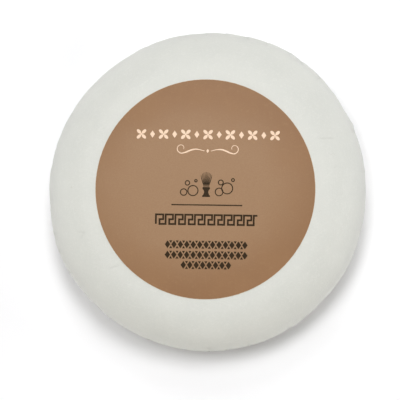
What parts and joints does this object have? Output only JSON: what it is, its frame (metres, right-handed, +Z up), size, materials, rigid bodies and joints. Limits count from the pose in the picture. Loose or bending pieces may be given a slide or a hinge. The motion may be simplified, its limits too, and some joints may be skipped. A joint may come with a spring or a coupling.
{
  "type": "shaving soap puck",
  "caption": "Round shaving soap puck in a pleated paper wrap, with a round printed label on the crown and a seal label over the pleats underneath.",
  "frame": {"origin": "middle of the underside, on the outer face of the seal label that the puck rests on", "axes": "+Z up through the front label, +Y towards the top of that label, +X to its right"},
  "size_m": [0.08, 0.08, 0.0222],
  "materials": {
    "soap": "milled soap, satin, slightly waxy",
    "wrap_paper": "thin matt vellum paper, off-white",
    "label_paper": "matt printed label stock, tan",
    "seal_paper": "matt printed label stock, tan"
  },
  "bodies": {
    "root": {"soap_puck": "soap", "wrapper": "wrap_paper", "front_label": "label_paper", "seal_label": "seal_paper"}
  },
  "joints": []
}
